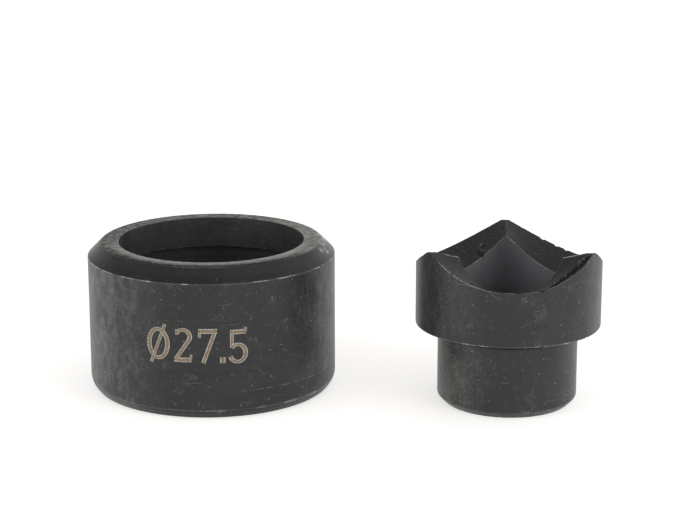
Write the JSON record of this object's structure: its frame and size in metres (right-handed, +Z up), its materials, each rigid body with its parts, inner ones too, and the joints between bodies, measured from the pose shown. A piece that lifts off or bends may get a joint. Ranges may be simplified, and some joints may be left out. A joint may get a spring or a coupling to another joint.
{
  "type": "knockout punch and die",
  "caption": "Cutting pair of a knockout punch: a hollow bevelled die and a cusped punch on a tapped shank, drawn together by a stud to cut a round hole in sheet metal.",
  "frame": {"origin": "centre of the pair's outline, on the surface that both pieces stand on", "axes": "+X from the die to the punch, +Z up along both axes, -Y towards the viewer"},
  "size_m": [0.077, 0.0406, 0.0241],
  "materials": {
    "die_steel": "black oxide, turned, with a ground cutting face and worn edges",
    "punch_steel": "black oxide, turned, with milled cutting faces and worn edges"
  },
  "bodies": {
    "die": {"die": "die_steel"},
    "punch": {"punch": "punch_steel"}
  },
  "joints": [
    {"name": "punch_lift", "type": "slide", "parent": "die", "child": "punch", "axis": [0, 0, 1], "range_m": [0, 0.04]}
  ]
}
